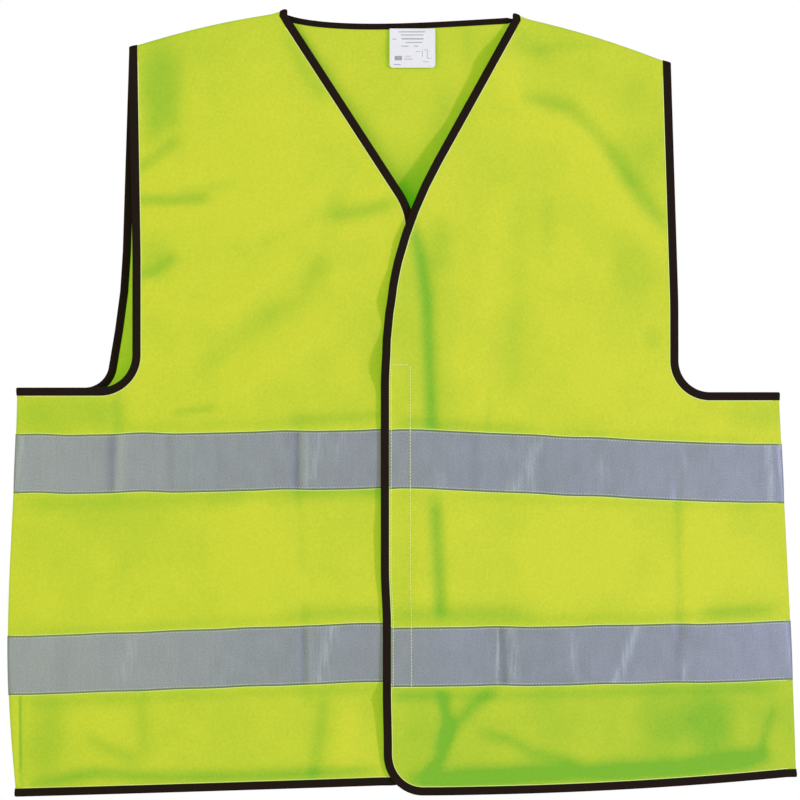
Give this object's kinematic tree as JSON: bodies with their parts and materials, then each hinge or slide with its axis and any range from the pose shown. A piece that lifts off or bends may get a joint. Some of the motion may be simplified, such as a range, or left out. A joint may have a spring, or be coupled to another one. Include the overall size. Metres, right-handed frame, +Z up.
{
  "type": "high visibility vest",
  "caption": "Sleeveless front-opening fluorescent yellow safety vest with V-neck, dark edge binding and horizontal reflective tapes round the body.",
  "frame": {"origin": "midway between the two neck points on the shoulder line, where the wearer's shoulders or a hanger hold the vest up", "axes": "+Z up, +X towards the wearer's left, -Y out of the front of the vest"},
  "size_m": [0.6711, 0.0603, 0.6684],
  "materials": {
    "fluorescent_cloth": "matt fluorescent warp-knit polyester",
    "edge_binding": "woven dark binding tape",
    "reflective_tape": "grey glass-bead retroreflective tape, satin",
    "closure_strip": "hook-and-loop pile, matt",
    "care_label": null
  },
  "bodies": {
    "garment": {"back_panel": "fluorescent_cloth", "left_front_panel": "fluorescent_cloth", "right_front_panel": "fluorescent_cloth", "left_shoulder_seam": "fluorescent_cloth", "right_shoulder_seam": "fluorescent_cloth", "left_side_seam": "fluorescent_cloth", "right_side_seam": "fluorescent_cloth", "neck_binding": "edge_binding", "hem_binding": "edge_binding", "left_armhole_binding": "edge_binding", "right_armhole_binding": "edge_binding", "upper_back_tape": "reflective_tape", "lower_back_tape": "reflective_tape", "upper_left_front_tape": "reflective_tape", "lower_left_front_tape": "reflective_tape", "upper_right_front_tape": "reflective_tape", "lower_right_front_tape": "reflective_tape"},
    "left_flap": {"left_front_flap": "fluorescent_cloth", "left_front_edge_binding": "edge_binding", "upper_left_flap_tape": "reflective_tape", "lower_left_flap_tape": "reflective_tape", "hook_strip": "closure_strip"},
    "right_flap": {"right_front_flap": "fluorescent_cloth", "right_front_edge_binding": "edge_binding", "upper_right_flap_tape": "reflective_tape", "lower_right_flap_tape": "reflective_tape", "loop_strip": "closure_strip"},
    "label": {"care_label": "care_label"}
  },
  "joints": [
    {"name": "left_front_fold", "type": "hinge", "parent": "garment", "child": "left_flap", "pos_m": [0.09, -0.02978, -0.33798], "axis": [0, 0.0673, 0.9977], "range_deg": [0, 165]},
    {"name": "right_front_fold", "type": "hinge", "parent": "garment", "child": "right_flap", "pos_m": [-0.09, -0.0296, -0.33296], "axis": [0, 0.0671, 0.9977], "range_deg": [-124, 0]},
    {"name": "label_swing", "type": "hinge", "parent": "garment", "child": "label", "pos_m": [0.0106, -0.0002, -0.01164], "axis": [-1, 0, 0], "range_deg": [0, 150]}
  ],
  "couplings": [
    {"joint": "right_front_fold", "follows": "left_front_fold", "ratio": -0.75}
  ]
}
